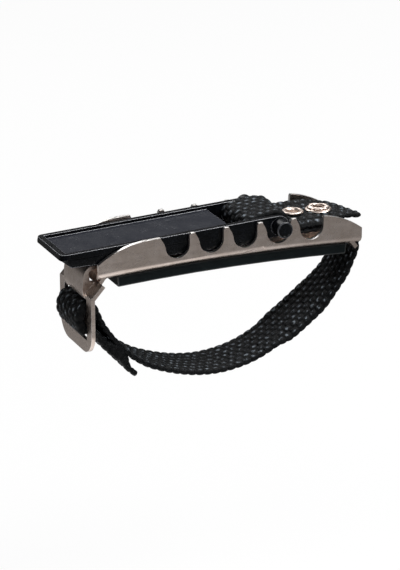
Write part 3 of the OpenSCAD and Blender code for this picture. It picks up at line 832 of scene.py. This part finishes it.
@dataclass
class WebbingStrap:
    """The webbing strap, woven piece by piece along its route."""

    width: float = 12.7
    pitch: float = 0.2
    across: int = 64
    edge_steps: int = 6
    edge_bulge: float = 0.8
    holes: tuple[Point, ...] = ((19.0, 1.72), (25.44, 1.72))
    hole_rim: float = 1.4
    under_uv: float = 40.0
    twist_x: float = 28.0
    twist: float = 0.13
    head_curl: float = 1.0
    curl_reach: Point = (12.5, 3.5)
    curl_half: Point = (2.7, 3.65)
    wrap_reach: Point = (-33.6, -1.6)
    wrap_fill: float = 1.0
    tail_reach: Point = (-32.4, 7.0)
    tail_fill: float = 1.0
    near_reach: Point = (-29.4, 6.0)
    near_fill: float = 1.3
    end_reach: Point = (-25.4, 2.0)
    end_drop: float = 0.5
    roll_reach: Point = (-30.0, 7.5)
    tail_roll: float = 0.03
    route: StrapRoute = field(default_factory=StrapRoute)
    weave: Weave = field(default_factory=Weave)

    def _line(self) -> list[Row]:
        """Gives the whole route resampled: stretch name, point, normal and distance along."""
        raw: list[tuple[str, Point]] = []
        for name, points in self.route.stretches().items():
            for p in points:
                if not raw or math.dist(raw[-1][1], p) > 1e-6:
                    raw.append((name, p))
        dist = [0.0]
        for (_, a), (_, b) in zip(raw, raw[1:]):
            dist.append(dist[-1] + math.dist(a, b))
        count = int(dist[-1] / self.pitch)
        out: list[Row] = []
        seg = 0
        for k in range(count + 1):
            d = dist[-1] * k / count
            while seg < len(raw) - 2 and dist[seg + 1] < d:
                seg += 1
            share = (d - dist[seg]) / max(dist[seg + 1] - dist[seg], 1e-9)
            p = between(raw[seg][1], raw[seg + 1][1], min(share, 1.0))
            out.append((raw[seg + 1][0], p, (0.0, 0.0), d))
        for k, (name, p, _, d) in enumerate(out):
            a, b = out[max(k - 3, 0)][1], out[min(k + 3, count)][1]
            size = math.dist(a, b)
            out[k] = (name, p, ((a[1] - b[1]) / size, (b[0] - a[0]) / size), d)
        return out

    def _section(self) -> list[Spot]:
        """Gives the webbing's section: place across, height and outward direction."""
        thick = self.route.thick / 2
        edge = thick * self.edge_bulge
        flat = self.width / 2 - edge
        ring: list[Spot] = []
        for side in (1, -1):
            for k in range(self.across):
                ring.append((side * (2 * flat * k / self.across - flat), side * thick, (0.0, float(side))))
            for k in range(self.edge_steps):
                a = math.radians(180 - 90 * side - 180 * k / self.edge_steps)
                ring.append((side * flat + edge * math.cos(a), thick * math.sin(a),
                             (math.cos(a), math.sin(a))))
        return ring

    def _fill(self, name: str, p: Point, y: float) -> float:
        """Gives how much fuller the strap is on its inner side, where it is squeezed through the buckle."""
        if name == "wrap":
            return self.wrap_fill * progress(p[0], *self.wrap_reach)
        if name == "tail":
            swell = math.sin(math.pi * progress(p[0], *self.tail_reach))
            near = math.sin(math.pi * progress(p[0], *self.near_reach)) * (0.5 - y / self.width)
            return self.tail_fill * swell + self.near_fill * near
        return 0.0

    def _twist(self, x: float, y: float) -> float:
        """Gives the lift of the head: far edge up at the first eyelet, near side up at the free end."""
        ramp = progress(x, self.twist_x, self.route.free_l, most=1.2)
        rise = progress(x, *self.curl_reach) * progress(x, self.twist_x, -4.0)
        curl = math.copysign(progress(abs(y), *self.curl_half) ** 1.5, y)
        return self.head_curl * rise * curl - self.twist * y * ramp

    def _place(self, vert: bmesh.types.BMVert, row: Row, spot: Spot, holes: Sequence[Point]) -> float:
        """Puts one vertex of the woven sheet in place and gives its height on the weave.

        Args:
            vert: The vertex to move.
            row: Stretch name, point, normal and distance along.
            spot: Place across, height and outward direction in the section.
            holes: Places along X and radii of round holes.

        Returns:
            The height on the weave, from 0 in a groove to 1 on a crown.
        """
        name, p, normal, dist = row
        y, h, out = spot
        if h > 0:
            h += self._fill(name, p, y)
        if name == "tail":
            h -= self.end_drop * progress(p[0], *self.end_reach)
            roll = math.sin(math.pi * progress(p[0], *self.roll_reach))
            h += self.tail_roll * (y + self.width / 2) * roll
        crown = self.weave.crown(dist, y, self.width)
        lift = self.weave.relief * (crown - self.weave.middle)
        for x, radius in holes:
            near = math.hypot(p[0] - x, y) - radius
            if near < self.hole_rim:
                lift = min(lift, -0.12 + max(near - 1.1, 0.0))
        side = self.weave.waver(dist, out[0])
        height = h + lift * abs(out[1]) * out[1]
        vert.co = Vector(((p[0] + normal[0] * height) * MM, (y + side) * MM,
                          (p[1] + normal[1] * height + self._twist(p[0], y)) * MM))
        return crown

    def _punch(self, bm: bmesh.types.BMesh, holes: Sequence[Point]) -> None:
        """Cuts round holes through a woven sheet and walls them.

        Args:
            bm: The closed sheet, in metres.
            holes: Places along X and radii of the holes, in millimetres.
        """
        for x, radius in holes:
            far = {v: math.hypot(v.co.x / MM - x, v.co.y / MM) for v in bm.verts}
            bmesh.ops.delete(bm, geom=[v for v, d in far.items() if d < radius], context="VERTS")
            rim = [e for e in bm.edges if e.is_boundary and far[e.verts[0]] < radius + 1.0]
            bmesh.ops.bridge_loops(bm, edges=rim)

    def woven(self, name: str, wanted: Sequence[str], holes: Sequence[Point] = ()) -> bpy.types.Object:
        """Weaves the stretches that are wanted into one closed piece.

        Args:
            name: Name of the piece.
            wanted: Names of the stretches, next to each other.
            holes: Places along X and radii of round holes through the strap.

        Returns:
            The new object.
        """
        line = self._line()
        index = [k for k, row in enumerate(line) if row[0] in wanted]
        rows = line[max(index[0] - 1, 0):index[-1] + 1]
        ring = self._section()
        bm = bmesh.new()
        crown_layer = bm.verts.layers.float.new("crown")
        bmesh.ops.create_grid(bm, x_segments=len(rows) - 1, y_segments=len(ring), size=1.0)
        bm.verts.ensure_lookup_table()
        places: dict[bmesh.types.BMVert, Point] = {}
        for vert in bm.verts:
            i = round((vert.co.x + 1) / 2 * (len(rows) - 1))
            j = round((vert.co.y + 1) / 2 * len(ring))
            spot = ring[j % len(ring)]
            vert[crown_layer] = self._place(vert, rows[i], spot, holes)
            places[vert] = (rows[i][3], spot[0] + (self.under_uv if spot[1] < 0 else 0.0))
        uv = bm.loops.layers.uv.new("weave")
        for face in bm.faces:
            for loop in face.loops:
                loop[uv].uv = places[loop.vert]
        bmesh.ops.remove_doubles(bm, verts=bm.verts, dist=0.004 * MM)
        bmesh.ops.holes_fill(bm, edges=[e for e in bm.edges if e.is_boundary], sides=0)
        self._punch(bm, holes)
        bmesh.ops.triangulate(bm, faces=[f for f in bm.faces if len(f.verts) > 4])
        bmesh.ops.recalc_face_normals(bm, faces=bm.faces)
        return new_object(name, bm, smooth_deg=80.0)

    def build(self, finishes: Finishes) -> None:
        """Builds and dresses every stretch of the strap."""
        for name, stretches, holes, body, node in (
                ("strap_head_top", ("free", "head_upper"), self.holes, "frame", "strap_head_upper"),
                ("strap_head_bottom", ("head_lower", "lip"), self.holes, "frame", "strap_head_lower"),
                ("strap_long_run", ("run",), (), "frame", "strap_run"),
                ("strap_buckle_wrap", ("wrap",), (), "buckle", "strap_wrap"),
                ("strap_tail_end", ("tail",), (), "buckle", "strap_tail")):
            finishes.dress(self.woven(name, stretches, holes), Finish.WEBBING, body, node)
        for name, stretch in (("strap_loop_top", "loop_upper"), ("strap_loop_bottom", "loop_lower")):
            piece = finishes.dress(self.woven(name, (stretch,)), Finish.WEBBING, "", "strap_toggle_loop")
            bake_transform(piece)
        bar = self.woven("strap_loop_bar", ("loop_bar",))
        piece = finishes.dress(bar, Finish.WEBBING, "", "strap_toggle_loop")
        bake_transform(piece)
        piece = finishes.dress(self.woven("strap_buckle_rise", ("rise",)), Finish.WEBBING, "", "strap_rise")
        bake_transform(piece)


# ------------------------------------------------------------------- the studio


@dataclass
class Studio:
    """Plain floor, soft lights and the camera."""

    azimuth: float = -24.17
    elevation: float = 19.01
    distance: float = 600.0
    focus_z: float = 2.6
    lens: float = 168.8
    shift: Point = (-0.02818, -0.06902)
    floor_drop: float = 60.0
    card_middle: Point = (-0.12, -0.05)
    card_edge: Point = (0.12, 0.21)
    card_level: Point = (1.0, 0.16)
    floor_tone: Colour = (0.9, 0.9, 0.9, 1.0)
    floor_glow: float = 0.93
    room_depth: Point = (-0.9, 0.7)
    room_level: Point = (0.14, 0.8)

    def camera(self) -> None:
        """Places the camera."""
        data = bpy.data.cameras.new("studio_camera")
        cam = bpy.data.objects.new("studio_camera", data)
        bpy.context.scene.collection.objects.link(cam)
        a, e = math.radians(self.azimuth), math.radians(self.elevation)
        back = Vector((math.sin(a) * math.cos(e), -math.cos(a) * math.cos(e), math.sin(e)))
        cam.location = (back * self.distance + Vector((0, 0, self.focus_z))) * MM
        cam.rotation_euler = (-back).to_track_quat("-Z", "Y").to_euler()
        data.sensor_width, data.lens = 36.0, self.lens
        data.shift_x, data.shift_y = self.shift
        data.clip_start, data.clip_end = 0.01, 10.0
        bpy.context.scene.camera = cam

    def _card(self, s: Shader) -> Socket:
        """Gives the white card on the floor that the metal mirrors: full near its middle, none far out."""
        near = s.node("ShaderNodeVectorMath", operation="DISTANCE")
        near.inputs[1].default_value = (*self.card_middle, CAD_BOX[0].z - self.floor_drop * MM)
        s.link(s.node("ShaderNodeTexCoord").outputs["Object"], near.inputs[0])
        return s.span(near.outputs["Value"], self.card_edge, self.card_level, kind="SMOOTHSTEP")

    def floor(self) -> None:
        """Lays a pale floor below the capo that shows white to the camera and keeps its shadow."""
        bm = bmesh.new()
        bmesh.ops.create_grid(bm, x_segments=1, y_segments=1, size=3.0)
        bmesh.ops.translate(bm, verts=bm.verts, vec=(0, 0, CAD_BOX[0].z - self.floor_drop * MM))
        obj = new_object("studio_floor", bm)
        s = Shader("studio_floor")
        s.tree.nodes.remove(s.bsdf)
        path = s.node("ShaderNodeLightPath")
        mirrored, seen = path.outputs["Is Glossy Ray"], path.outputs["Is Camera Ray"]
        level = s.node("ShaderNodeMix", Factor=mirrored, A=1.0, B=self._card(s))
        glow = s.node("ShaderNodeEmission", Strength=level.outputs[0])
        diffuse = s.node("ShaderNodeBsdfDiffuse", Color=self.floor_tone)
        share = s.maths("MULTIPLY", s.maths("MAXIMUM", mirrored, seen), self.floor_glow)
        both = s.node("ShaderNodeMixShader", Fac=share)
        s.link(diffuse.outputs[0], both.inputs[1])
        s.link(glow.outputs[0], both.inputs[2])
        s.put(s.tree.nodes["Material Output"], Surface=both.outputs[0])
        obj.data.materials.append(s.material)

    def light(self, name: str, place: Triple, size: Point, power: float) -> None:
        """Hangs one soft white light that looks at the capo.

        Args:
            name: Name of the light.
            place: Where it hangs, in metres.
            size: Width and height in metres.
            power: Power in watts.
        """
        data = bpy.data.lights.new(name, "AREA")
        data.shape, data.size, data.size_y = "RECTANGLE", size[0], size[1]
        data.energy = power
        obj = bpy.data.objects.new(name, data)
        bpy.context.scene.collection.objects.link(obj)
        obj.location = place
        obj.rotation_euler = (-Vector(place)).to_track_quat("-Z", "Y").to_euler()

    def world(self) -> None:
        """Makes a plain world: white to the camera, and a room that is pale behind and dim in front."""
        world = bpy.data.worlds.new("studio_world")
        world.use_nodes = True
        bpy.context.scene.world = world
        n = Nodes(world.node_tree)
        coord = n.node("ShaderNodeTexCoord").outputs["Generated"]
        depth = n.node("ShaderNodeSeparateXYZ", Vector=coord).outputs["Y"]
        room = n.span(depth, self.room_depth, self.room_level)
        seen = n.node("ShaderNodeLightPath").outputs["Is Camera Ray"]
        n.put(n.tree.nodes["Background"], Strength=n.span(seen, target=(room, 1.0)))

    def build(self) -> None:
        """Sets up the whole studio."""
        self.camera()
        self.floor()
        self.world()
        self.light("key_light", (-0.25, -0.35, 0.65), (0.45, 0.35), 2.0)
        self.light("top_light", (0.36, -0.24, 0.60), (0.6, 0.3), 5.5)
        self.light("back_light", (0.15, 0.5, 0.45), (0.7, 0.25), 2.0)
        bpy.context.scene.view_settings.view_transform = "Standard"


def main() -> None:
    """Builds every sub-assembly in order."""
    finishes = Finishes()
    Studio().build()
    for part in (PressingBar(), ToggleLever(), StrapBuckle(), Eyelets(), WebbingStrap()):
        part.build(finishes)
        LOG.info("built %s", type(part).__name__)


if __name__ == "__main__":
    logging.basicConfig(level=logging.INFO, format="%(name)s: %(message)s")
    main()
